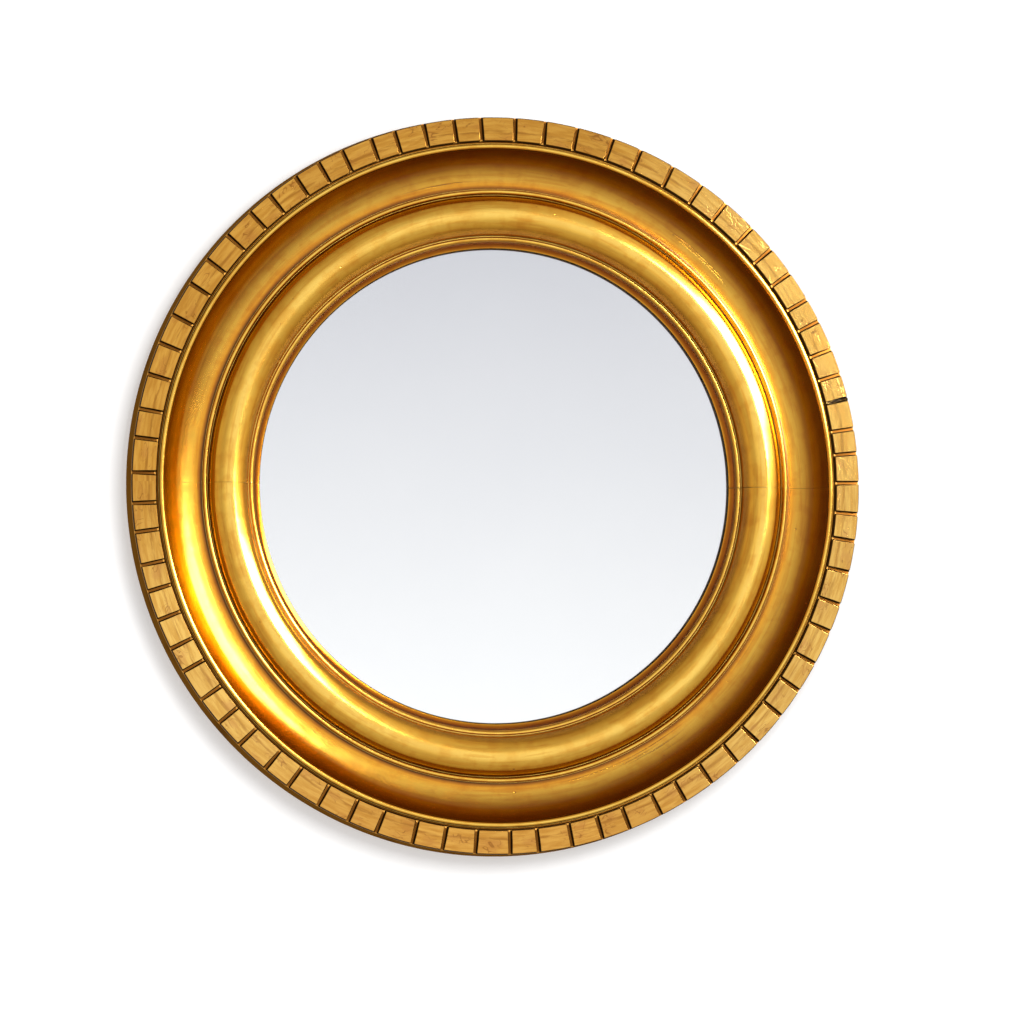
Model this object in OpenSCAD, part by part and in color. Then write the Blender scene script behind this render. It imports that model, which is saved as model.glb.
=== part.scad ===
// Round gilt frame with a convex glass: turned mouldings planted on a ring of pine felloes,
// a rim of saw-cut dentil blocks, and a backboard with two hanger straps.
// Front faces -Y, up is +Z, and the origin is the centre of the backboard's rear face.

/* [Glass] */
// Diameter of the sight opening, where the glass shows
sight_d = 586; // [480:2:700]
// How far the lip laps over the edge of the glass
glass_cover = 7; // [5:0.5:10]
// Play between the edge of the glass and the rebate
glass_play = 2; // [1:0.5:3]
// Thickness of the glass
glass_t = 4; // [3:0.5:5]
// Radius of the bulge, at the front of the glass
bulge_r = 1350; // [1100:10:2500]
// Thickness of the silvering with its paint
silver_t = 0.3; // [0.2:0.1:0.5]
// Number of softwood blocks behind the edge of the glass
block_count = 12; // [6:1:16]
// Length of a glass block along the edge
block_l = 38; // [20:1:60]
// Width of a glass block, in from the rebate
block_w = 12; // [8:0.5:16]

/* [Base ring] */
// Thickness of the felloes
base_t = 24; // [20:1:34]
// How far the base ring stands in from the rim's foot
base_step = 7; // [3:0.5:12]
// Number of felloes
felloe_count = 8; // [6:1:12]
// Diameter of the dowels in the butt joints
dowel_d = 10; // [6:1:12]
// Length of the dowels
dowel_l = 50; // [30:2:60]

/* [Sight slip] */
// Height of the sight edge above the base ring
sight_rise = 11.2; // [9.5:0.1:14]
// Thickness of the lip at the sight edge
lip_t = 0.8; // [0.5:0.1:1.5]
// Slope of the lip's hollow at the sight edge, in degrees
lip_flat = 12; // [5:1:25]
// Slope of the lip's hollow where it meets the bead, in degrees
lip_steep = 75; // [60:1:85]
// Thickness of the slip's leg, which forms the front of the rebate
slip_leg = 5.5; // [4.5:0.5:8]
// Radius of the inner bead
inner_bead_r = 3.1; // [2.5:0.1:3.6]
// Height of the inner bead's centre above the base ring
inner_bead_rise = 17.2; // [15:0.1:20]

/* [Large round] */
// Radius of the large half-round
round_r = 25.2; // [20:0.2:30]
// Height of its centre above the base ring
round_rise = 17; // [12:0.5:22]

/* [Cove] */
// Radius of the middle bead
mid_bead_r = 3; // [2.5:0.1:3.6]
// Height of the middle bead's centre above the cove's floor
mid_bead_rise = 4.7; // [3.5:0.1:6]
// Width of the cove
cove_w = 47.6; // [36:0.2:60]
// Height of the cove's floor above the base ring
cove_rise = 19.5; // [14:0.5:22]
// Slope where the cove's floor turns into its wall, in degrees
cove_turn = 16; // [10:1:24]
// Slope of the cove's wall at its top, in degrees
cove_top = 60; // [52:1:66]

/* [Rim] */
// Radius of the outer bead
outer_bead_r = 3.2; // [2.6:0.1:3.8]
// Width of the fillet between the outer bead and the dentils
fillet_w = 2.9; // [2:0.1:5]
// Height of the dentils' seat above the base ring
rim_rise = 37; // [34:0.5:40]
// Fall of the seat from the fillet to the outer edge
rim_fall = 2.5; // [1:0.1:4]
// How much wider the rim's foot is than the dentils, at each side
rim_draft = 3.5; // [1:0.1:6]
// Chamfer at the rim's foot
foot_chamfer = 2; // [1:0.1:4]

/* [Dentils] */
// Number of dentil blocks
dentil_count = 74; // [60:1:90]
// Length of a block, across the rim
dentil_l = 29; // [22:0.5:36]
// Height of a block above its seat
dentil_t = 6; // [4:0.2:8]
// Width of the saw cut between two blocks
cut_w = 5; // [3:0.1:7]
// Eased edge along the blocks' inner and outer ends
dentil_ease = 0.8; // [0.4:0.1:1.5]
// Wander of the hand-set spacing, in degrees
cut_wander = 1; // [0:0.05:1]

/* [Back] */
// Thickness of the backboard
board_t = 6; // [5.8:0.1:9]
// How far the backboard laps over the base ring
board_lap = 43; // [34:1:48]
// Number of backboard screws
board_screws = 12; // [8:1:16]
// Shank diameter of the backboard screws
board_screw_d = 3.5; // [3:0.1:4.5]
// Length of the backboard screws
board_screw_l = 20; // [16:1:24]

/* [Hangers] */
// Height of the hangers around the frame, in degrees above the middle
hanger_angle = 35; // [28:1:45]
// Width of a hanger strap
strap_w = 14; // [12:0.5:18]
// Length of a strap below its ring
strap_l = 46; // [44:1:52]
// Thickness of the strap
strap_t = 1.2; // [1:0.1:1.4]
// Wire diameter of the ring
wire_d = 2.6; // [2.2:0.1:2.8]
// Straight length of the ring's legs
ring_leg = 9.4; // [7:0.2:11]
// Shank diameter of the hanger screws
hanger_screw_d = 3.5; // [3:0.1:4]
// Length of the hanger screws
hanger_screw_l = 14; // [12:1:18]

/* [Hidden] */
// Glue line between two mouldings, and at a butt joint
glue_gap = 0.1;
// Gap between the lip, the glass, its silvering and the blocks behind it
seat_gap = 0.3;
// Gap from the strap to the ring that hangs over it
ring_gap = 0.4;
// Gap at each side between the strap and the ring's legs
ring_side_gap = 1;
// Clearance round a dowel, a screw and the ring's bar
dowel_fit = 0.1;
screw_fit = 0.1;
ring_fit = 0.05;
// Flat at each side of a bead
bead_shoulder = 0.4;
// Depth of the middle and outer beads' strips below the bead's centre
strip_depth = 8;
// Depth that a countersunk head lies below the surface
head_sink = 0.3;
// Height of a pan head, and width and depth of a screw's slot
pan_h = 1.8;
slot_w = 0.9;
slot_depth = 0.9;
// Gap between a glass block and the backboard
block_gap = 2;
// How far each cut runs past the surface
over = 1;

// Share of the cove's width that its floor takes, up to the turn
cove_floor_share = 0.52;
// Places of the two dowels across the width of the base ring
dowel_shares = [0.3, 0.72];
// Places of the two screws along a strap, from the ring down
strap_screw_shares = [0.63, 0.86];
// Head diameter of a screw for each of its shank
head_share = 1.95;
// Angle of the first saw cut, and the swings of the hand-set spacing, in degrees
first_cut = -1.4;
swing_once = 1.1;
swing_twice = -0.9;
swing_thrice = -0.7;
swing_four = 1;
swing_block = 0.3;
block_step = 137;

// Radii, from the sight edge outward
sight_r = sight_d / 2;
glass_r = sight_r + glass_cover;
rebate_r = glass_r + glass_play;
slip_out_r = rebate_r + slip_leg;
inner_bead_at = slip_out_r - inner_bead_r - bead_shoulder;
round_in_r = slip_out_r + glue_gap;
round_at = round_in_r + round_r;
round_out_r = round_at + round_r;
cove_in_r = round_out_r + glue_gap;
mid_bead_at = cove_in_r + bead_shoulder + mid_bead_r;
mid_strip_out_r = mid_bead_at + mid_bead_r + bead_shoulder;
floor_in_r = mid_strip_out_r + glue_gap;
cove_out_r = floor_in_r + cove_w;
rim_in_r = cove_out_r + glue_gap;
outer_bead_at = rim_in_r + outer_bead_r;
outer_strip_out_r = outer_bead_at + outer_bead_r + bead_shoulder;
dentil_in_r = outer_strip_out_r + glue_gap + fillet_w;
dentil_out_r = dentil_in_r + dentil_l;
rim_out_r = dentil_out_r + rim_draft;
base_out_r = rim_out_r - base_step;
board_r = rebate_r + board_lap;

// Heights forward of the wall
base_front = board_t + base_t;
sight_z = base_front + sight_rise;
inner_bead_z = base_front + inner_bead_rise;
round_z = base_front + round_rise;
floor_z = base_front + cove_rise;
mid_bead_z = floor_z + mid_bead_rise;
seat_z = base_front + rim_rise;
seat_out_z = seat_z - rim_fall;
face_z = seat_z + dentil_t;
face_out_z = seat_out_z + dentil_t;
foot_z = base_front + foot_chamfer;

// The lip's hollow is one arc from the sight edge to the inner bead
lip_run = inner_bead_at - inner_bead_r - sight_r;
hollow_r = lip_run / (sin(lip_steep) - sin(lip_flat));
hollow_at = sight_r - hollow_r * sin(lip_flat);
hollow_z = sight_z + hollow_r * cos(lip_flat);

// The glass is a cap of a sphere whose centre lies behind the wall
bulge_z = sight_z - lip_t - seat_gap - sqrt(bulge_r * bulge_r - sight_r * sight_r);
glass_back_r = bulge_r - glass_t;
silver_front_r = glass_back_r - seat_gap;
silver_back_r = silver_front_r - silver_t;
lip_under_z = bulge_z + sqrt(bulge_r * bulge_r - rebate_r * rebate_r) + seat_gap;

// The cove is a wide floor arc that turns into a tighter wall arc
turn_r = floor_in_r + cove_w * cove_floor_share;
floor_arc_r = (turn_r - floor_in_r) / sin(cove_turn);
wall_arc_r = (cove_out_r - turn_r) / (sin(cove_top) - sin(cove_turn));
turn_z = floor_z + floor_arc_r * (1 - cos(cove_turn));
wall_arc_z = turn_z + wall_arc_r * cos(cove_turn);
wall_arc_at = turn_r - wall_arc_r * sin(cove_turn);
cove_top_z = wall_arc_z - wall_arc_r * cos(cove_top);

// The strips of the two planted beads
outer_bead_z = cove_top_z - bead_shoulder;
mid_strip_z = mid_bead_z - strip_depth;
outer_strip_z = outer_bead_z - strip_depth;

// Hangers stand midway between the backboard's edge and the outside of the base ring
hanger_r = (board_r + base_out_r) / 2;
hanger_x = hanger_r * cos(hanger_angle);
hanger_y = hanger_r * sin(hanger_angle);
wire_r = wire_d / 2;
loop_r = wire_r + ring_fit + strap_t;
loop_z = strap_t + ring_gap + wire_r;
ring_half_w = strap_w / 2 + ring_side_gap + wire_r;

// Places around the frame
board_screw_r = rebate_r + board_lap / 2;
felloe_angle = 360 / felloe_count;
dowel_z = board_t + base_t / 2;
full_turn = 360;
half_turn = 180;

$fn = 180;
// Sides of the bulge's large circle
bulge_fn = 1440;

// Angle of a saw cut: an even step with the slow drift and small errors of a hand-set rim
function even_angle(i) = first_cut + i * full_turn / dentil_count;
function drift(a) =
    swing_once * cos(a) + swing_twice * sin(2 * a) + swing_thrice * sin(3 * a) + swing_four * cos(4 * a);
function cut_angle(i) = even_angle(i) + cut_wander * (drift(even_angle(i)) + swing_block * sin(block_step * i));
// The rim's joint lies in a saw cut, a little above the middle on the right
rim_joint = cut_angle(3);
// Radius of the drafted outer wall at a height
function wall_r(z) = dentil_out_r + rim_draft * (face_out_z - z) / (face_out_z - foot_z);

// Stands a shape that was drawn flat, with its front up, against the wall
module upright() {
    rotate([90, 0, 0]) children();
}

// Half a ring of one moulding, from a start angle on, with half a glue line off each end
module half_ring(start) {
    upright() rotate([0, 0, start]) difference() {
        rotate_extrude(angle = half_turn) children();
        translate([-rim_out_r - over, -glue_gap / 2, 0]) cube([2 * (rim_out_r + over), glue_gap, 2 * face_z]);
    }
}

module whole_ring() {
    upright() rotate_extrude() children();
}

// Rectangle of a profile, between two radii and two heights
module band(r1, r2, z1, z2) {
    translate([r1, z1]) square([r2 - r1, z2 - z1]);
}

module slip_profile() {
    difference() {
        polygon([
            [rebate_r, base_front],
            [slip_out_r, base_front],
            [slip_out_r, inner_bead_z - bead_shoulder],
            [inner_bead_at, inner_bead_z],
            [sight_r, inner_bead_z],
            [sight_r, sight_z - lip_t],
            [rebate_r, lip_under_z]
        ]);
        translate([hollow_at, hollow_z]) circle(hollow_r);
    }
    translate([inner_bead_at, inner_bead_z]) circle(inner_bead_r);
}

module round_profile() {
    band(round_in_r, round_out_r, base_front, round_z);
    intersection() {
        translate([round_at, round_z]) circle(round_r);
        band(round_in_r, round_out_r, base_front, round_z + round_r);
    }
}

module cove_profile() {
    difference() {
        band(cove_in_r, cove_out_r, base_front, cove_top_z);
        band(cove_in_r - over, mid_strip_out_r + glue_gap, mid_strip_z, cove_top_z + over);
        intersection() {
            translate([floor_in_r, floor_z + floor_arc_r]) circle(floor_arc_r);
            band(floor_in_r - over, turn_r, floor_z - over, cove_top_z + over);
        }
        translate([wall_arc_at, wall_arc_z]) circle(wall_arc_r);
    }
}

// A planted bead: a half-round on a square strip
module bead_profile(at, z, r, strip_in, strip_out) {
    translate([at, z]) circle(r);
    band(strip_in, strip_out, z - strip_depth, z - bead_shoulder);
    band(at - r, at + r, z - bead_shoulder - r / 2, z);
}

module rim_profile() {
    polygon([
        [rim_in_r, base_front],
        [rim_out_r - foot_chamfer, base_front],
        [rim_out_r, foot_z],
        [wall_r(seat_out_z), seat_out_z],
        [dentil_in_r, seat_z],
        [outer_strip_out_r + glue_gap, seat_z],
        [outer_strip_out_r + glue_gap, outer_strip_z],
        [rim_in_r, outer_strip_z]
    ]);
}

module dentil_profile() {
    polygon([
        [dentil_in_r, seat_z + glue_gap],
        [wall_r(seat_out_z + glue_gap), seat_out_z + glue_gap],
        [wall_r(face_out_z - dentil_ease), face_out_z - dentil_ease],
        [dentil_out_r - dentil_ease, face_out_z],
        [dentil_in_r + dentil_ease, face_z],
        [dentil_in_r, face_z - dentil_ease]
    ]);
}

// Countersunk screw with its head at z = 0, driven along +Z
module countersunk_screw(d, l) {
    head_r = d * head_share / 2;
    difference() {
        union() {
            cylinder(h = head_r - d / 2, r1 = head_r, r2 = d / 2);
            cylinder(h = l, d = d);
        }
        translate([-head_r - over, -slot_w / 2, -over]) cube([2 * (head_r + over), slot_w, over + slot_depth]);
    }
}

// Pan-head screw whose head bears at z = 0, driven along +Z
module pan_screw(d, l) {
    head_r = d * head_share / 2;
    difference() {
        union() {
            translate([0, 0, -pan_h]) cylinder(h = pan_h, r1 = head_r - pan_h / 3, r2 = head_r);
            cylinder(h = l, d = d);
        }
        translate([-head_r - over, -slot_w / 2, -pan_h - over])
            cube([2 * (head_r + over), slot_w, over + slot_depth]);
    }
}

module at_board_screws() {
    for (i = [0:board_screws - 1]) {
        rotate([0, 0, (i + 1 / 2) * full_turn / board_screws]) translate([board_screw_r, 0, 0]) children();
    }
}

// Places children at a hanger, drawn from the base ring's back toward the wall; side is -1 or 1
module at_hanger(side) {
    translate([side * hanger_x, hanger_y, board_t]) mirror([0, 0, 1]) children();
}

module at_strap_screws() {
    for (share = strap_screw_shares) {
        translate([0, -strap_l * share, 0]) children();
    }
}

module at_dowels() {
    for (i = [0:felloe_count - 1]) {
        rotate([0, 0, (i + 1 / 2) * felloe_angle])
            for (share = dowel_shares) {
                translate([rebate_r + share * (base_out_r - rebate_r), 0, dowel_z]) rotate([90, 0, 0]) children();
            }
    }
}

module backboard() {
    head_r = board_screw_d * head_share / 2 + screw_fit;
    color("burlywood") upright() difference() {
        cylinder(h = board_t, r = board_r);
        at_board_screws() {
            translate([0, 0, -over]) cylinder(h = board_t + 2 * over, r = board_screw_d / 2 + screw_fit);
            translate([0, 0, head_sink]) cylinder(h = head_r, r1 = head_r, r2 = 0);
            translate([0, 0, -over]) cylinder(h = over + head_sink, r = head_r);
        }
    }
}

module backboard_screws() {
    color("goldenrod") upright() at_board_screws() {
        translate([0, 0, head_sink]) countersunk_screw(board_screw_d, board_screw_l);
    }
}

// Ring of butted felloes; each butt joint is one glue line wide
module base_felloes() {
    color("tan") upright() difference() {
        rotate_extrude() band(rebate_r, base_out_r, board_t, base_front);
        for (i = [0:felloe_count - 1]) {
            rotate([0, 0, (i + 1 / 2) * felloe_angle])
                translate([rebate_r - over, -glue_gap / 2, 0]) cube([base_out_r, glue_gap, base_front + over]);
        }
        at_dowels() cylinder(h = dowel_l + 2 * over, r = dowel_d / 2 + dowel_fit, center = true);
        at_board_screws() {
            translate([0, 0, board_t - over])
                cylinder(h = board_screw_l + head_sink - board_t + 2 * over, r = board_screw_d / 2 + screw_fit);
        }
        for (side = [-1, 1]) {
            at_hanger(side) at_strap_screws() {
                translate([0, 0, strap_t - hanger_screw_l - over])
                    cylinder(h = hanger_screw_l + over, r = hanger_screw_d / 2 + screw_fit);
            }
        }
    }
}

module base_dowels() {
    color("wheat") upright() at_dowels() cylinder(h = dowel_l, d = dowel_d, center = true);
}

module rim_upper() {
    color("goldenrod") half_ring(rim_joint) rim_profile();
}

module rim_lower() {
    color("goldenrod") half_ring(rim_joint + half_turn) rim_profile();
}

// A ring with the dentils' profile, sawn through into separate blocks
module dentil_blocks() {
    color("gold") upright() difference() {
        rotate_extrude() dentil_profile();
        for (i = [0:dentil_count - 1]) {
            rotate([0, 0, cut_angle(i)]) translate([dentil_in_r - over, -cut_w / 2, seat_out_z - over])
                cube([dentil_l + rim_draft + 2 * over, cut_w, dentil_t + rim_fall + 2 * over]);
        }
    }
}

module outer_bead() {
    color("khaki") whole_ring()
        bead_profile(outer_bead_at, outer_bead_z, outer_bead_r, rim_in_r, outer_strip_out_r);
}

module cove_upper() {
    color("darkgoldenrod") half_ring(0) cove_profile();
}

module cove_lower() {
    color("darkgoldenrod") half_ring(half_turn) cove_profile();
}

module middle_bead() {
    color("khaki") whole_ring()
        bead_profile(mid_bead_at, mid_bead_z, mid_bead_r, cove_in_r, mid_strip_out_r);
}

module round_upper() {
    color("gold") half_ring(0) round_profile();
}

module round_lower() {
    color("gold") half_ring(half_turn) round_profile();
}

module sight_slip_upper() {
    color("orange") half_ring(0) slip_profile();
}

module sight_slip_lower() {
    color("orange") half_ring(half_turn) slip_profile();
}

// Profile of the space inside a sphere about the bulge's centre, out to a radius
module dome_profile(r, disc_r) {
    intersection() {
        translate([0, bulge_z]) circle(r, $fn = bulge_fn);
        band(0, disc_r, board_t, sight_z + disc_r);
    }
}

// Cap between two spheres about one centre, cut to a disc
module cap(r_front, r_back, disc_r) {
    whole_ring() difference() {
        dome_profile(r_front, disc_r);
        translate([0, bulge_z]) circle(r_back, $fn = bulge_fn);
    }
}

module convex_glass() {
    color("lightblue") cap(bulge_r, glass_back_r, glass_r);
}

module silvering() {
    color("silver") cap(silver_front_r, silver_back_r, glass_r);
}

// Blocks glued to the rebate's wall, their fronts shaped to the back of the glass
module glass_blocks() {
    color("wheat") upright() for (i = [0:block_count - 1]) {
        rotate([0, 0, i * full_turn / block_count]) intersection() {
            translate([rebate_r - block_w, -block_l / 2, board_t + block_gap]) cube([block_w, block_l, base_front]);
            rotate_extrude() dome_profile(silver_back_r - seat_gap, rebate_r - glue_gap);
        }
    }
}

// Strap with a rolled loop at its top end and two screw holes
module hanger_strap(side) {
    color("peru") upright() at_hanger(side) difference() {
        union() {
            translate([-strap_w / 2, strap_w / 2 - strap_l, 0]) cube([strap_w, strap_l - strap_w / 2, strap_t]);
            translate([0, strap_w / 2 - strap_l, 0]) cylinder(h = strap_t, d = strap_w);
            translate([0, 0, loop_z]) rotate([0, 90, 0]) cylinder(h = strap_w, r = loop_r, center = true);
        }
        translate([0, 0, loop_z]) rotate([0, 90, 0])
            cylinder(h = strap_w + 2 * over, r = wire_r + ring_fit, center = true);
        at_strap_screws() {
            translate([0, 0, -over]) cylinder(h = strap_t + 2 * over, r = hanger_screw_d / 2 + screw_fit);
        }
    }
}

module hanger_strap_left() {
    hanger_strap(-1);
}

module hanger_strap_right() {
    hanger_strap(1);
}

// D-shaped wire ring, hanging straight down from its bar in the strap's loop
module hanger_ring(side) {
    color("darkgoldenrod") upright() at_hanger(side) translate([0, 0, loop_z]) {
        rotate([0, 90, 0]) cylinder(h = 2 * ring_half_w, r = wire_r, center = true);
        for (end = [-1, 1]) {
            translate([end * ring_half_w, 0, 0]) sphere(wire_r);
            translate([end * ring_half_w, 0, 0]) rotate([90, 0, 0]) cylinder(h = ring_leg, r = wire_r);
        }
        translate([0, -ring_leg, 0]) rotate([0, 0, half_turn])
            rotate_extrude(angle = half_turn) translate([ring_half_w, 0]) circle(wire_r);
    }
}

module hanger_ring_left() {
    hanger_ring(-1);
}

module hanger_ring_right() {
    hanger_ring(1);
}

module hanger_screws() {
    color("goldenrod") upright() for (side = [-1, 1]) {
        at_hanger(side) at_strap_screws() {
            translate([0, 0, strap_t]) mirror([0, 0, 1]) pan_screw(hanger_screw_d, hanger_screw_l);
        }
    }
}

backboard();
backboard_screws();
base_felloes();
base_dowels();
rim_upper();
rim_lower();
dentil_blocks();
outer_bead();
cove_upper();
cove_lower();
middle_bead();
round_upper();
round_lower();
sight_slip_upper();
sight_slip_lower();
convex_glass();
silvering();
glass_blocks();
hanger_strap_left();
hanger_strap_right();
hanger_ring_left();
hanger_ring_right();
hanger_screws();
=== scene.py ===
import math
import random

import bmesh
import bpy
from mathutils import Matrix, Vector, noise


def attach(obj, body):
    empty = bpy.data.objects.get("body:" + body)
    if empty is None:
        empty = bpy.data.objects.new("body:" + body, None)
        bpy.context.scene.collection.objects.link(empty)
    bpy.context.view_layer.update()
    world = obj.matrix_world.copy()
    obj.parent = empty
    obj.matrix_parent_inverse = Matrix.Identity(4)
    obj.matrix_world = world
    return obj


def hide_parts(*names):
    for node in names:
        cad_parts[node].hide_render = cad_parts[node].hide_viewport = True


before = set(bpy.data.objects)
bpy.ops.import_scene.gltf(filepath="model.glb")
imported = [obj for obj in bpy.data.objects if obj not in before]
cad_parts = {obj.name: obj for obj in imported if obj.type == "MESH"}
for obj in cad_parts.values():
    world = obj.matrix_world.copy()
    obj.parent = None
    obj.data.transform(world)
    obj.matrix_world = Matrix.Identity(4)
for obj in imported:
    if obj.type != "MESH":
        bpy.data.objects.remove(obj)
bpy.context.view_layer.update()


# The base ring: eight pine felloes butted and dowelled into a ring that carries every moulding.
# Bare softwood, browned by age and stained in patches, each felloe cut from a board of its own.
FELLOES = 8
FELLOE_TURN = math.tau / FELLOES
BOARD_SHIFT = 1.7


def node(tree, kind, inputs=(), **settings):
    """Adds a shader node; its inputs are values or the outputs of other nodes."""
    made = tree.nodes.new("ShaderNode" + kind)
    for name, value in settings.items():
        setattr(made, name, value)
    for key, value in dict(inputs).items():
        if isinstance(value, bpy.types.NodeSocket):
            tree.links.new(value, made.inputs[key])
        else:
            made.inputs[key].default_value = value
    return made


def calc(tree, operation, *terms, clamp=False):
    return node(tree, "Math", enumerate(terms), operation=operation, use_clamp=clamp).outputs[0]


def plus(tree, a, b):
    return calc(tree, "ADD", a, b)


def minus(tree, a, b):
    return calc(tree, "SUBTRACT", a, b)


def times(tree, a, b):
    return calc(tree, "MULTIPLY", a, b)


def rise(tree, value, start, end, low=0.0, high=1.0, way="SMOOTHSTEP"):
    """Goes from low to high as value goes from start to end."""
    ends = {0: value, 1: start, 2: end, 3: low, 4: high}
    return node(tree, "MapRange", ends, interpolation_type=way).outputs[0]


def tint(tree, share, under, over, way="MIX"):
    """Lays one colour over another by a share."""
    colours = {0: share, 6: under, 7: over}
    return node(tree, "Mix", colours, data_type="RGBA", blend_type=way).outputs[2]


def mottle(tree, place, scale, stretch=(1, 1, 1), detail=4.0, rough=0.5, warp=0.0):
    """Cloudy noise from 0 to 1, with features a metre over scale wide."""
    spread = node(tree, "Mapping", {"Vector": place, "Scale": stretch}).outputs[0]
    settings = {"Vector": spread, "Scale": scale, "Detail": detail, "Roughness": rough, "Distortion": warp}
    return node(tree, "TexNoise", settings).outputs[0]


def scattered(tree, place, scale):
    """Distance to the nearest of many strewn points, in units of a metre over scale."""
    return node(tree, "TexVoronoi", {"Vector": place, "Scale": scale, "Randomness": 1.0}).outputs[0]


def new_finish(name):
    """A node material, its tree and its shader."""
    finish = bpy.data.materials.new(name)
    finish.use_nodes = True
    return finish, finish.node_tree, finish.node_tree.nodes["Principled BSDF"]


def object_place(tree):
    return node(tree, "TexCoord").outputs["Object"]


def plug(tree, shader, **sockets):
    """Sets the shader's sockets to values or links; an underscore stands for a space."""
    for name, value in sockets.items():
        socket = shader.inputs[name.replace("_", " ")]
        if isinstance(value, bpy.types.NodeSocket):
            tree.links.new(value, socket)
        else:
            socket.default_value = value


def emboss(tree, shader, height, depth):
    """Raises and sinks the surface by a height from 0 to 1 times a depth in metres."""
    bump = node(tree, "Bump", {"Height": height, "Strength": 1.0, "Distance": depth})
    tree.links.new(bump.outputs[0], shader.inputs["Normal"])


def along_felloes(tree, place):
    """Turns the grain to run along each felloe, every one cut from another board."""
    x, _, z = node(tree, "SeparateXYZ", {0: place}).outputs
    nearest = calc(tree, "ROUND", calc(tree, "DIVIDE", calc(tree, "ARCTAN2", z, x), FELLOE_TURN))
    number = calc(tree, "FLOORED_MODULO", nearest, FELLOES)
    turn = minus(tree, times(tree, number, FELLOE_TURN), math.radians(90))
    laid = node(tree, "VectorRotate", {"Vector": place, "Angle": turn}, rotation_type="Y_AXIS").outputs[0]
    board = node(tree, "CombineXYZ", {0: times(tree, number, BOARD_SHIFT), 1: 0.0, 2: number}).outputs[0]
    return node(tree, "VectorMath", {0: laid, 1: board}, operation="ADD").outputs[0]


def wood(name, pale, dark, stain, grain, stretch, knots=0.0, lay=None):
    """Wood with long grain lines, pores, a slower change of tone, stains in patches and knots."""
    finish, tree, shader = new_finish(name)
    place = object_place(tree)
    if lay:
        place = lay(tree, place)
    lines = mottle(tree, place, grain, stretch, detail=6.0, rough=0.65, warp=0.4)
    tone = mottle(tree, place, 5.0, detail=5.0, rough=0.6)
    pores = mottle(tree, place, grain * 6, stretch, detail=2.0)
    colour = tint(tree, rise(tree, lines, 0.35, 0.7), pale, dark)
    colour = tint(tree, rise(tree, pores, 0.62, 0.72, high=0.55), colour, dark)
    colour = tint(tree, rise(tree, tone, 0.45, 0.75, high=0.6), colour, stain)
    if knots:
        eyes = rise(tree, scattered(tree, place, knots), 0.05, 0.035, high=0.8)
        colour = tint(tree, eyes, colour, stain)
    plug(tree, shader, Base_Color=colour, Roughness=rise(tree, lines, 0.3, 0.7, 0.62, 0.85))
    emboss(tree, shader, plus(tree, lines, pores), depth=0.0003)
    return finish


def dress(finish, *names):
    """Gives carried-over CAD nodes a finish."""
    for name in names:
        for material_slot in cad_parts[name].material_slots:
            material_slot.material = finish


aged_pine = wood(
    "aged_pine", pale=(0.42, 0.25, 0.11, 1), dark=(0.22, 0.11, 0.04, 1), stain=(0.12, 0.06, 0.025, 1),
    grain=30.0, stretch=(0.15, 5, 5), knots=4.0, lay=along_felloes
)
dress(aged_pine, "base_felloes", "glass_blocks")


# The dowels in the felloes' butt joints: short turned beech pegs, seen only with the ring apart.
# Pale, close-grained wood with a little hide glue darkening it.
beech = wood(
    "beech", pale=(0.55, 0.36, 0.2, 1), dark=(0.4, 0.23, 0.11, 1), stain=(0.3, 0.16, 0.07, 1),
    grain=60.0, stretch=(1, 1, 5)
)
dress(beech, "base_dowels")


# The rim: two half rings of pine with a drafted outer wall, and on top the seat of the dentils.
# The wall is painted dark umber, and the seat shows brown bole with leaf at its edges and painted shade in
# the gutter by the outer bead.
# Sizes are radii and heights in millimetres, and angles in degrees, anticlockwise from 3 o'clock.
BASE_FRONT = 30.0
RIM_INNER, RIM_OUTER, RIM_FOOT = 412.7, 455.0, 2.0
SEAT_INNER, SEAT_INNER_TOP = 422.5, 67.0
SEAT_OUTER, SEAT_OUTER_TOP = 452.05, 64.5
GROOVE_EDGE, GROOVE_FLOOR = 419.6, 62.45
CUTS, CUT_WIDTH, FIRST_CUT = 74, 5.0, -1.4
CUT_AT_RIM_JOINT = 3
JOINT_GAP = 0.005
MOULDING_RADIUS = 380.0
# In metres, as the meshes are.
DOUBLES, END_ARRIS, RIM_ARRIS = 0.000004, 0.00005, 0.0005


def spot(radius, height):
    """Point of a profile, from millimetres; heights run forward of the wall."""
    return Vector((radius, -height, 0)) / 1000


def profile(shape, moves):
    """Draws a closed outline of (radius, height) points and (radius, height, degrees, pieces) arcs."""
    first = tip = shape.verts.new(spot(*moves[0]))
    for move in moves[1:]:
        if len(move) == 2:
            tip = bmesh.ops.extrude_vert_indiv(shape, verts=[tip])["verts"][0]
            tip.co = spot(*move)
            continue
        radius, height, degrees, pieces = move
        swept = bmesh.ops.spin(
            shape, geom=[tip], cent=spot(radius, height), axis=(0, 0, -1), angle=math.radians(degrees),
            steps=pieces, use_merge=False
        )
        tip = swept["geom_last"][0]
    shape.edges.new((tip, first))


def round_off(shape, parts, width, segments, kind="EDGES"):
    bmesh.ops.bevel(
        shape, geom=parts, offset=width, offset_type="OFFSET", segments=segments, profile=0.5,
        affect=kind, material=-1
    )


def ease_corners(shape, width, least=25.0):
    """Rounds the outline's corners that turn by more than the least angle."""
    sharp = []
    for corner in shape.verts:
        a, b = (edge.other_vert(corner).co - corner.co for edge in corner.link_edges)
        if math.degrees(math.pi - a.angle(b)) > least and min(a.length, b.length) > 2.2 * width:
            sharp.append(corner)
    round_off(shape, sharp, width, 3, "VERTICES")


def ring_turn(degrees):
    """Turn about the mirror's axis, anticlockwise seen from the front."""
    return Matrix.Rotation(-math.radians(degrees), 3, "Y")


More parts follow.
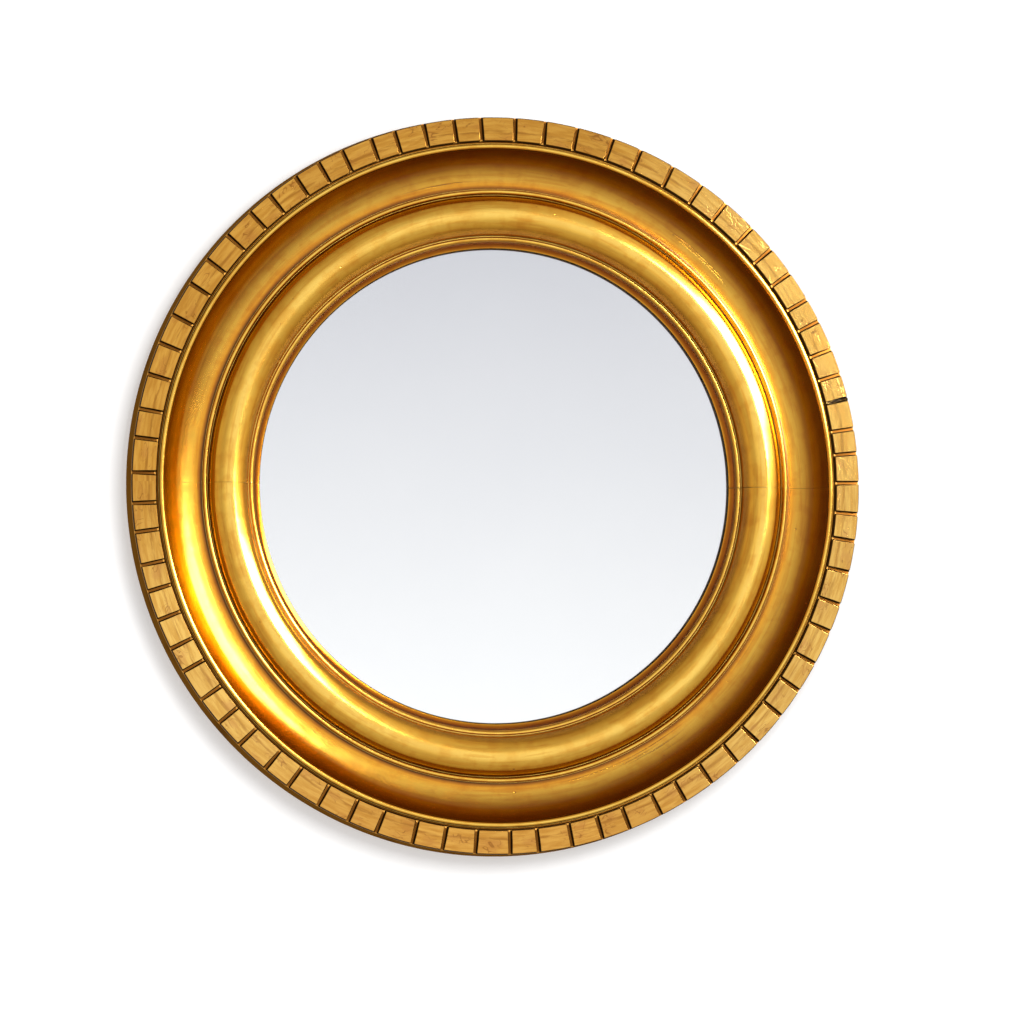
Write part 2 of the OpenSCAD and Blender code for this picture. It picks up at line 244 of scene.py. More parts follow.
def turn_by(shape, degrees, steps, merge=False):
    """Spins all that the shape has about the mirror's axis."""
    bmesh.ops.spin(
        shape, geom=shape.verts[:] + shape.edges[:], cent=(0, 0, 0), axis=(0, -1, 0),
        angle=math.radians(degrees), steps=steps, use_merge=merge
    )


def sweep(shape, start, degrees, pieces, sectors=12):
    """Turns the outline about the mirror's axis, sector by sector, and shuts open ends."""
    bmesh.ops.rotate(shape, verts=shape.verts[:], cent=(0, 0, 0), matrix=ring_turn(start))
    turn_by(shape, degrees / sectors, pieces // sectors)
    sector = shape.verts[:] + shape.edges[:] + shape.faces[:]
    for i in range(1, sectors):
        copied = bmesh.ops.duplicate(shape, geom=sector)["geom"]
        points = [part for part in copied if isinstance(part, bmesh.types.BMVert)]
        bmesh.ops.rotate(shape, verts=points, cent=(0, 0, 0), matrix=ring_turn(i * degrees / sectors))
    bmesh.ops.remove_doubles(shape, verts=shape.verts[:], dist=DOUBLES)
    ends = [edge for edge in shape.edges if edge.is_boundary]
    if ends:
        bmesh.ops.holes_fill(shape, edges=ends, sides=0)
        round_off(shape, ends, END_ARRIS, 2)
    bmesh.ops.recalc_face_normals(shape, faces=shape.faces[:])


def hand_worked(shape, depth, scale, seed):
    """Sinks the surface here and there, as scraped gesso lies."""
    shape.normal_update()
    shift = Vector((seed, seed * 2.7, seed * 5.1))
    for point in shape.verts:
        wave = 0.5 + 0.5 * noise.noise(point.co * scale + shift)
        point.co -= point.normal * depth * wave


def hand_over(shape, name, body, slot, finish, *nodes, sharp=35.0):
    """Makes the piece, which rides on its body and stands for its CAD nodes."""
    mesh = bpy.data.meshes.new(name)
    shape.to_mesh(mesh)
    shape.free()
    mesh.shade_smooth()
    mesh.set_sharp_from_angle(angle=math.radians(sharp))
    mesh.materials.append(finish)
    piece = bpy.data.objects.new(name, mesh)
    bpy.context.scene.collection.objects.link(piece)
    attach(piece, body)
    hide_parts(*nodes)
    return piece


def turned_moulding(name, stands_for, moves, start, degrees, pieces, worked, finish, eased=0.0):
    """Turns a moulding of the frame from its profile, with hand-worked unevenness."""
    shape = bmesh.new()
    profile(shape, moves)
    if eased:
        ease_corners(shape, eased)
    sweep(shape, start, degrees, pieces)
    hand_worked(shape, **worked)
    hand_over(shape, name, "frame", "gilt_wood", finish, stands_for)


def half_rings(name, stands_for, moves, joint, pieces, worked, finish, eased=0.0):
    """The upper and the lower half of a moulding, a hairline apart at the joint and across from it."""
    for half, start in (("_upper", joint), ("_lower", joint + 180)):
        turned_moulding(
            name + half, stands_for + half, moves, start + JOINT_GAP / 2, 180 - JOINT_GAP, pieces,
            worked, finish, eased
        )


def ring_place(tree):
    """Where a point lies, in metres, also with the ring of mouldings rolled out flat."""
    place = object_place(tree)
    x, y, z = node(tree, "SeparateXYZ", {0: place}).outputs
    radius = calc(tree, "SQRT", plus(tree, times(tree, x, x), times(tree, z, z)))
    height = times(tree, y, -1.0)
    along = times(tree, calc(tree, "ARCTAN2", z, x), MOULDING_RADIUS / 1000)
    rolled = node(tree, "CombineXYZ", {0: along, 1: radius, 2: height}).outputs[0]
    return {"place": place, "x": x, "z": z, "radius": radius, "height": height, "rolled": rolled}


def larger(tree, a, b):
    return calc(tree, "MAXIMUM", a, b)


def rim_paint():
    finish, tree, shader = new_finish("rim_paint")
    at = ring_place(tree)
    radius = at["radius"]
    umber, brown_umber, soot = (0.13, 0.05, 0.005, 1), (0.19, 0.08, 0.01, 1), (0.06, 0.02, 0.003, 1)
    bole, dark_bole, leaf = (0.36, 0.14, 0.02, 1), (0.2, 0.07, 0.01, 1), (0.85, 0.42, 0.08, 1)
    gutter_bole, gutter_shade = (0.3, 0.11, 0.012, 1), (0.02, 0.007, 0.001, 1)
    clouds = mottle(tree, at["place"], 22.0, detail=5.0)
    strokes = mottle(tree, at["rolled"], 60.0, (0.15, 1, 3), detail=3.0)
    wall = tint(tree, strokes, umber, brown_umber)
    wall = tint(tree, rise(tree, clouds, 0.5, 0.75, high=0.6), wall, soot)
    seat = tint(tree, clouds, bole, dark_bole)
    # Painted shade: the gutter between the outer bead's strip and the blocks goes near black towards the
    # blocks.
    in_gutter = rise(tree, radius, 0.4229, 0.4223)
    gutter = tint(tree, rise(tree, radius, 0.4204, 0.4214), gutter_bole, gutter_shade)
    seat = tint(tree, in_gutter, seat, gutter)
    edges = larger(tree, rise(tree, radius, 0.4252, 0.4236), rise(tree, radius, 0.4508, 0.452))
    seat = tint(tree, times(tree, edges, minus(tree, 1.0, in_gutter)), seat, leaf)
    top = rise(tree, at["height"], 0.0625, 0.0638)
    gilt = times(tree, top, minus(tree, 0.85, times(tree, in_gutter, 0.3)))
    plug(
        tree, shader, Base_Color=tint(tree, top, wall, seat), Metallic=gilt, Specular_IOR_Level=0.0,
        Roughness=rise(tree, clouds, 0.3, 0.7, 0.42, 0.6)
    )
    emboss(tree, shader, plus(tree, clouds, strokes), depth=0.0002)
    return finish


def cut_angle(i):
    """Angle of a saw cut in degrees: an even step, with the drift of a rim spaced by hand."""
    rounds, number = divmod(i, CUTS)
    even = FIRST_CUT + number * 360 / CUTS
    a = math.radians(even)
    drift = 1.1 * math.cos(a) - 0.9 * math.sin(2 * a) - 0.7 * math.sin(3 * a) + math.cos(4 * a)
    return even + drift + 0.3 * math.sin(math.radians(137 * number)) + 360 * rounds


rim_joint = cut_angle(CUT_AT_RIM_JOINT)
half_rings(
    "rim_wall", "rim", joint=rim_joint, pieces=360, eased=RIM_ARRIS, finish=rim_paint(),
    worked={"depth": 0.00012, "scale": 60.0, "seed": 3.0},
    moves=[
        (RIM_INNER, BASE_FRONT), (RIM_OUTER - RIM_FOOT, BASE_FRONT), (RIM_OUTER, BASE_FRONT + RIM_FOOT),
        (SEAT_OUTER, SEAT_OUTER_TOP), (SEAT_INNER, SEAT_INNER_TOP), (GROOVE_EDGE, SEAT_INNER_TOP),
        (GROOVE_EDGE, GROOVE_FLOOR), (RIM_INNER, GROOVE_FLOOR)
    ]
)


# The dentils: blocks left between saw cuts all round the rim, spaced and squared by hand.
# Their faces are leaf over gesso that took the knife marks, and all below the faces in the cuts is painted
# near black as shade.
# Gesso lies in the corners of the cuts, and a crumbled filler in the cut over the rim's joint.
BLOCK_MIDDLE = 437.0
BLOCK_SHY = 0.2
BLOCK_LIFT = 0.1
BLOCK_PROFILE = [
    (SEAT_INNER, SEAT_INNER_TOP + BLOCK_LIFT), (SEAT_OUTER, SEAT_OUTER_TOP + BLOCK_LIFT), (451.6, 69.7),
    (450.7, 70.55), (441.5, 71.36), (432.5, 72.14), (423.3, 72.93), (SEAT_INNER, 72.2)
]
MOST_WORN = (6, 23, 24, 40, 59, 62, 63, 65, 70)
FILLER_HALF = 1.8
FILLER_PROFILE = [(423.2, 67.1), (451.5, 64.7), (451.3, 69.9), (423.2, 72.55)]
FILLER_CUTS, CRUMB_SCALE = 11, 700
# The rest is in metres, as the meshes are: what the hand saw and the wear do to a block, the
# wedges of gesso by the seat under their ends and their corners' shift along and up, and crumbs.
HALF_LENGTH, HALF_WIDTH, UPRIGHT = 0.0145, 0.013, 0.004
SKEW, DIP, DIPPING_ABOVE = 0.00038, 0.00012, 0.0695
CORNER_EASE, WORN_EASE, ARRIS_EASE = 0.0011, 0.0024, 0.0003
INNER_CORNERS_WITHIN = 0.43
WEDGE_ENDS = ((0.4227, 0.06705), (0.4518, 0.06459))
WEDGE_CORNERS = ((-0.0004, -0.0003), (-0.0004, 0.0022), (0.0015, -0.0003))
CRUMB_DEPTH, CRUMBLING_ABOVE = 0.0008, 0.0675


def facing_front(tree):
    """1 where the surface looks along the mirror's axis, 0 where it looks across it."""
    normal = node(tree, "NewGeometry").outputs["Normal"]
    return calc(tree, "ABSOLUTE", node(tree, "SeparateXYZ", {0: normal}).outputs[1])


def block_gilding():
    finish, tree, shader = new_finish("block_gilding")
    at = ring_place(tree)
    radius, x, z = at["radius"], at["x"], at["z"]
    leaf, deep_leaf, red_leaf = (0.88, 0.55, 0.14, 1), (0.68, 0.37, 0.075, 1), (0.62, 0.3, 0.09, 1)
    brown_leaf, bole, cut_shade = (0.56, 0.3, 0.07, 1), (0.3, 0.12, 0.025, 1), (0.02, 0.007, 0.001, 1)
    upper_left_shade, darker_below, dimmed_arris = (0.74, 0.62, 0.42, 1), (0.8, 0.66, 0.5, 1), (0.32, 0.26, 0.2, 1)

    # Each block has its own stretch of grain, patches and knife marks.
    own = node(tree, "NewGeometry").outputs["Random Per Island"]
    shift = node(tree, "CombineXYZ", {0: times(tree, own, 3.0), 1: own, 2: own}).outputs[0]
    own_place = node(tree, "VectorMath", {0: at["rolled"], 1: shift}, operation="ADD").outputs[0]
    grain = mottle(tree, own_place, 230.0, (0.14, 1, 1), detail=5.0, rough=0.6, warp=0.3)
    patches = mottle(tree, own_place, 55.0, (0.7, 1, 1), detail=3.0)
    wander = mottle(tree, own_place, 75.0, (0.6, 1, 1), detail=1.0, warp=1.5)
    knife = calc(tree, "ABSOLUTE", minus(tree, wander, 0.5))
    knife = times(tree, rise(tree, knife, 0.022, 0.006), rise(tree, patches, 0.48, 0.6))
    core = plus(tree, minus(tree, radius, 0.4385), times(tree, own, 0.004))
    core = calc(tree, "ABSOLUTE", plus(tree, core, times(tree, patches, 0.006)))
    core = times(tree, rise(tree, core, 0.0028, 0.0006), rise(tree, grain, 0.35, 0.6))
    marks = larger(tree, times(tree, core, 0.7), knife)
    colour = tint(tree, rise(tree, grain, 0.35, 0.65), leaf, deep_leaf)
    colour = tint(tree, rise(tree, patches, 0.5, 0.72, high=0.6), colour, red_leaf)
    colour = tint(tree, times(tree, own, 0.35), colour, brown_leaf)
    colour = tint(tree, times(tree, marks, 0.6), colour, bole)

    # Painted shade darkens the upper left, the colour is darker towards the bottom, painted shade dims the
    # arrises, and all below the faces in the cuts is painted near black as shade.
    upper_left = minus(tree, times(tree, z, 0.8), times(tree, x, 0.6))
    colour = tint(tree, rise(tree, upper_left, 0.08, 0.28), colour, upper_left_shade, "MULTIPLY")
    # The colour grows darker towards the bottom.
    colour = tint(tree, rise(tree, z, -0.3, -0.42, high=0.9), colour, darker_below, "MULTIPLY")
    face = minus(tree, 0.1094, times(tree, radius, 0.0862))
    shaded_in_cut = rise(tree, minus(tree, face, at["height"]), 0.0003, 0.0008)
    arris = rise(tree, facing_front(tree), 0.985, 0.95)
    # Painted shade dims the bevelled arrises, where the lamp glints.
    colour = tint(tree, arris, colour, dimmed_arris, "MULTIPLY")
    # Painted shade: below the faces, in the cuts, the colour goes near black and loses its metal.
    colour = tint(tree, shaded_in_cut, colour, cut_shade)
    rough = plus(tree, rise(tree, grain, 0.35, 0.65, 0.09, 0.11), times(tree, arris, 0.35))
    plug(
        tree, shader, Base_Color=colour, Metallic=minus(tree, 0.85, times(tree, shaded_in_cut, 0.85)),
        Roughness=rough, Specular_IOR_Level=0.1, Specular_Tint=(1.0, 0.86, 0.6, 1)
    )
    emboss(tree, shader, minus(tree, plus(tree, grain, patches), marks), depth=0.000012)
    return finish


def slice_of_ring(moves, start, end, steps):
    """Solid that a profile sweeps between two angles."""
    piece = bmesh.new()
    profile(piece, moves)
    bmesh.ops.rotate(piece, verts=piece.verts[:], cent=(0, 0, 0), matrix=ring_turn(start))
    turn_by(piece, end - start, steps)
    bmesh.ops.holes_fill(piece, edges=[edge for edge in piece.edges if edge.is_boundary], sides=0)
    bmesh.ops.recalc_face_normals(piece, faces=piece.faces[:])
    return piece


def angle_across(length):
    """Angle at the mirror's axis that a length in millimetres takes up at the blocks' middle."""
    return math.degrees(math.asin(length / BLOCK_MIDDLE))


def outward_at(degrees):
    a = math.radians(degrees)
    return Vector((math.cos(a), 0, math.sin(a)))


def along_at(degrees):
    a = math.radians(degrees)
    return Vector((-math.sin(a), 0, math.cos(a)))


def off_axis(point):
    return Vector((point.x, 0, point.z)).length


def lean(block, along):
    """Skews and tapers a block and tilts its face a little, as a hand-held saw leaves it."""
    skew, taper, dip = (chance.uniform(-1, 1) for _ in range(3))
    for point in block.verts:
        out = (off_axis(point.co) - BLOCK_MIDDLE / 1000) / HALF_LENGTH
        beside = point.co.dot(along) / HALF_WIDTH
        point.co += along * SKEW * (skew * out + taper * out * beside)
        point.co.y += DIP * (1 + dip * beside) * (point.co.y < -DIPPING_ABOVE)


def ease_block(block, along, width, most_worn):
    """Rounds a block's upright corners, one inner corner more if it is most worn, then its arrises."""
    reach = 0.6 * BLOCK_MIDDLE / 1000 * math.radians(width / 2)
    worn, eased = [], []
    for edge in block.edges:
        a, b = (end.co for end in edge.verts)
        middle = (a + b) / 2
        if abs(a.y - b.y) < UPRIGHT or abs(middle.dot(along)) < reach:
            continue
        inner_corner = off_axis(middle) < INNER_CORNERS_WITHIN and middle.dot(along) < 0
        (worn if most_worn and inner_corner else eased).append(edge)
    round_off(block, eased, CORNER_EASE, 3)
    round_off(block, worn, WORN_EASE, 3)
    arrises = [edge for edge in block.edges if edge.calc_face_angle(0) > math.radians(40)]
    round_off(block, arrises, ARRIS_EASE, 2)


def pack_gesso(block, degrees, side):
    """Leaves a wedge of gesso in the corner between a block's flank and the seat."""
    outward, beside = outward_at(degrees), along_at(degrees) * side
    wedge = []
    for radius, seat in WEDGE_ENDS:
        for spread, lift in WEDGE_CORNERS:
            wedge.append(block.verts.new(outward * radius + beside * spread - Vector((0, seat + lift, 0))))
    bmesh.ops.convex_hull(block, input=wedge, use_existing_faces=False)


def add_to(whole, piece):
    part = bpy.data.meshes.new("part")
    piece.to_mesh(part)
    whole.from_mesh(part)
    piece.free()
    bpy.data.meshes.remove(part)


chance = random.Random(11)
blocks = bmesh.new()
half_cut = angle_across(CUT_WIDTH / 2 + BLOCK_SHY)
for i in range(CUTS):
    start, end = cut_angle(i) + half_cut, cut_angle(i + 1) - half_cut
    block = slice_of_ring(BLOCK_PROFILE, start, end, 4)
    along = along_at((start + end) / 2)
    lean(block, along)
    ease_block(block, along, end - start, i in MOST_WORN)
    pack_gesso(block, start, -1)
    pack_gesso(block, end, 1)
    add_to(blocks, block)

half_filler = angle_across(FILLER_HALF)
filler = slice_of_ring(FILLER_PROFILE, rim_joint - half_filler, rim_joint + half_filler, 1)
bmesh.ops.subdivide_edges(filler, edges=filler.edges[:], cuts=FILLER_CUTS, use_grid_fill=True)
for point in filler.verts:
    if -point.co.y > CRUMBLING_ABOVE:
        crumbled = noise.noise_vector(point.co * CRUMB_SCALE)
        point.co += Vector((crumbled.x, 0.4 + 0.6 * crumbled.y, crumbled.z)) * CRUMB_DEPTH
add_to(blocks, filler)
hand_over(blocks, "dentils", "frame", "gilt_wood", block_gilding(), "dentil_blocks", sharp=8.0)


# The outer bead: a half-round hoop on a square strip, set in the groove between rim and cove.
# Burnished leaf on its crest, and brown painted shade with grime down both sides.
SHOULDER = 0.4


def ramp(tree, value, *stops):
    """Runs through colours, each given with its place between 0 and 1."""
    made = node(tree, "ValToRGB", {0: value})
    bands = made.color_ramp.elements
    bands[0].position, bands[1].position = stops[0][0], stops[-1][0]
    for place, colour in stops[1:-1]:
        bands.new(place)
    for band, (place, colour) in zip(bands, stops):
        band.color = (*colour, 1)
    return made.outputs[0]


def even_varnish(tree, at):
    """Weight of a thin old varnish that lies the same all over."""
    return 0.26


def scratched(tree, at, low, high):
    """Fine scratches along the ring, in patches, between two radii."""
    lines = mottle(tree, at["rolled"], 420.0, (0.01, 1, 1), detail=2.0)
    from_low = rise(tree, at["radius"], low, low + 0.004)
    to_high = rise(tree, at["radius"], high, high - 0.004)
    stretches = rise(tree, mottle(tree, at["rolled"], 5.0, (1, 0.2, 1), detail=2.0), 0.5, 0.62)
    where = times(tree, times(tree, from_low, to_high), stretches)
    return times(tree, rise(tree, lines, 0.6, 0.68), where)


def gilding(
    name, gloss, lumps, shade_and_grime, painted_shading=None, scratches=None, seam=None, turned=0.0, varnish=even_varnish
):
    """Water gilding: burnished leaf, painted darker and warmer on its sides as shade, with painted shade and
    grime in the quirks.
    """
    finish, tree, shader = new_finish(name)
    at = ring_place(tree)
    place, rolled = at["place"], at["rolled"]
    thin_leaf, bole, shade_and_grime_brown = (0.84, 0.68, 0.42, 1), (0.22, 0.07, 0.018, 1), (0.15, 0.06, 0.008, 1)
    clouds = mottle(tree, place, 16.0, detail=4.0)
    patches = mottle(tree, place, 60.0, detail=3.0, rough=0.5)
    brushed = mottle(tree, rolled, 150.0, (0.1, 1.4, 1.4), detail=4.0)
    fine = mottle(tree, place, 420.0, detail=2.0)
    # Painted shade: the leaf grows darker and warmer the more the surface turns from the mirror's axis.
    colour = ramp(
        tree, minus(tree, 1.0, facing_front(tree)), (0.0, (0.87, 0.56, 0.11)), (0.035, (0.86, 0.5, 0.07)),
        (0.14, (0.84, 0.43, 0.042)), (0.24, (0.77, 0.36, 0.026)), (0.36, (0.54, 0.23, 0.014)),
        (0.5, (0.4, 0.16, 0.01)), (0.7, (0.34, 0.13, 0.008))
    )
    colour = tint(tree, rise(tree, clouds, 0.4, 0.7, high=0.45), colour, thin_leaf, "MULTIPLY")
    colour = tint(tree, rise(tree, patches, 0.45, 0.65, high=0.5), colour, thin_leaf, "MULTIPLY")
    colour = tint(tree, rise(tree, brushed, 0.48, 0.66, high=0.6), colour, thin_leaf, "MULTIPLY")
    # Painted light and shade laid over the leaf, where a moulding has them.
    if painted_shading:
        colour = tint(tree, 1.0, colour, painted_shading(tree, at), "MULTIPLY")

    # Specks and scratches go through to the bole, and painted shade with grime lies over both.
    specks = scattered(tree, place, 62.0)
    worn = times(tree, rise(tree, specks, 0.1, 0.04), rise(tree, clouds, 0.5, 0.6))
    if scratches:
        worn = larger(tree, worn, scratched(tree, at, *scratches))
    colour = tint(tree, times(tree, worn, 0.7), colour, bole)
    uneven = rise(tree, patches, 0.25, 0.6, 0.8, 1.0)
    shade_and_grime_share = calc(tree, "MULTIPLY", shade_and_grime(tree, at), uneven, clamp=True)
    if seam:
        at_joint = rise(tree, calc(tree, "ABSOLUTE", at["z"]), 0.0008, 0.0003)
        shade_and_grime_share = larger(tree, shade_and_grime_share, times(tree, at_joint, seam(tree, at)))
    colour = tint(tree, shade_and_grime_share, colour, shade_and_grime_brown)
    rough = plus(tree, rise(tree, patches, 0.3, 0.75, gloss, gloss + 0.05), times(tree, shade_and_grime_share, 0.3))
    plug(
        tree, shader, Base_Color=colour, Metallic=minus(tree, 1.0, times(tree, shade_and_grime_share, 0.4)),
        Roughness=rough, Specular_IOR_Level=0.1, Specular_Tint=(1.0, 0.78, 0.42, 1), Anisotropic=turned,
        Coat_Roughness=0.15, Coat_Weight=varnish(tree, at)
    )
    if turned:
        outward = node(tree, "CombineXYZ", {0: at["x"], 2: at["z"]}).outputs[0]
        plug(tree, shader, Tangent=node(tree, "VectorMath", {0: outward}, operation="NORMALIZE").outputs[0])
    relief = plus(tree, times(tree, patches, 1.2), times(tree, fine, 0.12))
    relief = plus(tree, relief, times(tree, brushed, 0.5))
    emboss(tree, shader, minus(tree, relief, times(tree, worn, 2.0)), lumps)
    return finish


def below_crest(crest):
    """Painted shade with grime, thickening from a bead's crest down its sides."""
    return lambda tree, at: rise(tree, at["height"], crest - 0.0026, crest - 0.0046, high=0.85)


def hoop(name, stands_for, inner, outer, floor, heel, middle, spring, radius, seed):
    """A gilt half-round that springs from a strip with a small shoulder at its outer side."""
    moves = [
        (inner, floor), (outer, floor), (outer, spring - SHOULDER), (middle + radius, spring - SHOULDER),
        (middle + radius, spring), (middle, spring, 180, 18), (inner, heel)
    ]
    crest = (spring + radius) / 1000
    finish = gilding(name + "_gilding", gloss=0.16, lumps=0.00003, shade_and_grime=below_crest(crest))
    worked = {"depth": 0.0001, "scale": 50.0, "seed": seed}
    turned_moulding(name, stands_for, moves, start=0, degrees=360, pieces=720, worked=worked, finish=finish)


hoop(
    "outer_hoop", "outer_bead", inner=RIM_INNER, outer=419.5, floor=GROOVE_FLOOR, heel=66.0, middle=415.9,
    spring=70.43, radius=3.2, seed=7.0
)


# The cove: two half rings turned to a wide hollow that climbs to the outer bead.
# Its leaf is duller than the round's and scratched along the ring, with painted shade making it darker and
# warmer up the steep wall, and painted light at the left.
COVE_INNER, COVE_OUTER, COVE_TOP = 358.1, 412.6, 70.4
STRIP_OUTER, STRIP_FLOOR = 365.0, 46.25
STEEP_WALL, LOWER_WALL = (338.31, 136.39, -12.4, 8), (383.8, 73.77, -20, 12)
HOLLOW, FILLED_QUIRK = (STRIP_OUTER, 139.3, -10, 8), (371.25, 79.83, -17.9, 10)


# Painted shade with grime: dark in the quirk by the middle bead and along the top of the wall under the outer
# bead.
def cove_shade_and_grime(tree, at):
    quirk = rise(tree, at["radius"], 0.3676, 0.366, high=0.85)
    return larger(tree, quirk, rise(tree, at["height"], 0.0695, 0.0709, high=0.7))


def cove_painted_shading(tree, at):
    """Painted shade darkens the leaf from the hollow up the wall, and painted light brightens the wall at the
    left.
    """
    across = rise(tree, at["radius"], STRIP_OUTER / 1000, COVE_OUTER / 1000, way="LINEAR")
    painted_shading = ramp(
        tree, across, (0.03, (0.3, 0.14, 0.03)), (0.12, (0.76, 0.52, 0.16)), (0.28, (0.7, 0.62, 0.38)),
        (0.44, (0.54, 0.45, 0.25)), (0.53, (0.46, 0.34, 0.12)), (0.61, (0.42, 0.27, 0.06)),
        (0.7, (0.38, 0.24, 0.04)), (0.78, (0.3, 0.17, 0.018)), (0.87, (0.21, 0.115, 0.005)),
        (1.0, (0.19, 0.1, 0.004))
    )
    painted_left_light = ramp(
        tree, across, (0.53, (0.5, 0.4, 0.15)), (0.61, (0.56, 0.42, 0.12)), (0.7, (0.56, 0.42, 0.09)),
        (0.78, (0.6, 0.46, 0.08)), (0.87, (0.5, 0.38, 0.05)), (1.0, (0.42, 0.3, 0.03))
    )
    leftward = minus(tree, times(tree, at["z"], 0.4), at["x"])
    where = times(tree, rise(tree, leftward, 0.24, 0.38), rise(tree, at["radius"], 0.39, 0.394))
    return tint(tree, where, painted_shading, painted_left_light)


def cove_varnish(tree, at):
    return rise(tree, at["radius"], 0.393, 0.399, 0.36, 0.03)


def cove_seam(tree, at):
    return rise(tree, at["x"], 0.3, 0.35, 0.1, 0.25)


half_rings(
    "cove_gilt", "cove", joint=0, pieces=480, worked={"depth": 0.00022, "scale": 45.0, "seed": 13.0},
    moves=[
        (COVE_INNER, BASE_FRONT), (COVE_OUTER, BASE_FRONT), (COVE_OUTER, COVE_TOP), (412.35, 70.68),
        STEEP_WALL, LOWER_WALL, HOLLOW, FILLED_QUIRK, (STRIP_OUTER, STRIP_FLOOR), (COVE_INNER, STRIP_FLOOR)
    ],
    finish=gilding(
        "cove_gilding", gloss=0.22, lumps=0.0001, shade_and_grime=cove_shade_and_grime, painted_shading=cove_painted_shading, seam=cove_seam,
        scratches=(0.367, 0.39), turned=0.5, varnish=cove_varnish
    )
)


# The middle bead: a smaller hoop in its groove between the cove and the large round.
# Gilded like the outer bead, with the same painted shade and grime down both sides.
hoop(
    "middle_hoop", "middle_bead", inner=COVE_INNER, outer=364.9, floor=STRIP_FLOOR, heel=53.8, middle=361.5,
    spring=54.2, radius=3.0, seed=19.0
)


# The large round: a bold half-round in two half rings, which meet at 3 and 9 o'clock.
# Its leaf is burnished bright, with small dents, worn specks, and a hairline at each joint.
ROUND_INNER, ROUND_OUTER = 307.6, 358.0
ROUND_FLANK, ROUND_QUIRK, ROUND_BACK = 52.0, 50.0, 38.0
HALF_ROUND = (332.8, 47, 161.8, 54)


# Painted shade with grime down the round's lower flanks, into its quirks.
def round_shade_and_grime(tree, at):
    return rise(tree, at["height"], 0.0535, 0.0505, high=0.7)


def round_seam(tree, at):
    near_lip = rise(tree, at["radius"], 0.3195, 0.314)
    far_side = rise(tree, at["radius"], 0.352, 0.356)
    ends = larger(tree, larger(tree, near_lip, far_side), 0.25)
    return times(tree, ends, rise(tree, at["x"], -0.1, 0.1, 0.3, 1.0))


def round_painted_light(tree, at):
    """Painted light brightens the outer flank's leaf."""
    flank = times(tree, rise(tree, at["radius"], 0.348, 0.354), rise(tree, at["radius"], 0.3574, 0.357))
    return tint(tree, flank, (1.0, 1.0, 1.0, 1), (1.25, 1.9, 1.6, 1))


half_rings(
    "round_gilt", "round", joint=0, pieces=600, worked={"depth": 0.0003, "scale": 38.0, "seed": 29.0},
    moves=[
        (ROUND_INNER, BASE_FRONT), (ROUND_OUTER, BASE_FRONT), (ROUND_OUTER, ROUND_FLANK),
        (357.5, ROUND_FLANK), HALF_ROUND, (ROUND_INNER, ROUND_QUIRK), (ROUND_INNER, ROUND_BACK)
    ],
    finish=gilding(
        "round_gilding", gloss=0.17, lumps=0.00013, shade_and_grime=round_shade_and_grime, painted_shading=round_painted_light, seam=round_seam
    )
)


# The sight slip: a bead and a hollow lip in one moulding, in two half rings, lapping the glass.
# Painted shade makes the leaf darker orange in the hollow, least at the sight edge, and dark under the lip.
SIGHT_RADIUS, LIP_BACK, LIP = 293.0, 40.4, 0.8
INNER_BEAD_MIDDLE, INNER_BEAD_SPRING, INNER_BEAD = 304.0, 47.2, 3.1
LIP_HOLLOW = (290.833, 51.394, 54.27, 14)
LEG_INNER, LEG_OUTER = 302.0, 307.5


# Painted shade with grime in the quirk by the round and on the ledge, and painted shade under the lip.
def slip_shade_and_grime(tree, at):
    radius = at["radius"]
    quirk = times(tree, rise(tree, radius, 0.3064, 0.3072), rise(tree, at["height"], 0.0502, 0.0485))
    ledge = times(tree, rise(tree, radius, 0.2992, 0.3002), rise(tree, radius, 0.3018, 0.3012))
    under = rise(tree, at["height"], 0.0408, 0.0404)
    return larger(tree, times(tree, larger(tree, quirk, ledge), 0.6), under)


# Painted shade darkens the lip's hollow, least at the sight edge.
def slip_painted_shading(tree, at):
    across = rise(tree, at["radius"], SIGHT_RADIUS / 1000, 0.303, way="LINEAR")
    return ramp(
        tree, across, (0.05, (0.7, 0.52, 0.2)), (0.25, (0.55, 0.32, 0.06)), (0.74, (0.46, 0.25, 0.04)),
        (0.84, (1, 1, 1))
    )


def slip_seam(tree, at):
    return rise(tree, at["x"], -0.1, 0.1, 0.5, 1.0)


half_rings(
    "sight_slip_gilt", "sight_slip", joint=0, pieces=480,
    worked={"depth": 0.00012, "scale": 110.0, "seed": 41.0},
    moves=[
        (SIGHT_RADIUS, LIP_BACK), (SIGHT_RADIUS, LIP_BACK + LIP), LIP_HOLLOW,
        (INNER_BEAD_MIDDLE - INNER_BEAD, INNER_BEAD_SPRING), (INNER_BEAD_MIDDLE, INNER_BEAD_SPRING, -145, 16),
        (LEG_OUTER, 48.95), (LEG_OUTER, BASE_FRONT), (LEG_INNER, BASE_FRONT), (LEG_INNER, 38.4)
    ],
    finish=gilding(
        "slip_gilding", gloss=0.18, lumps=0.00003, shade_and_grime=slip_shade_and_grime, painted_shading=slip_painted_shading, seam=slip_seam
    )
)


# The glass: a disc of 4 mm sheet, slumped to a bulge, held by the lip at its edge.
# Clear, and silvered behind with a film that has gone dark in spots at its edge.
BULGE_RADIUS, BULGE_CENTRE = 1350.0, -1277.72
GLASS_EDGE, GLASS, SILVER_PLAY, SILVER = 300.0, 4.0, 0.3, 0.3
RINGS, SPOKES, POLE_DOUBLES = 40, 240, 0.00001


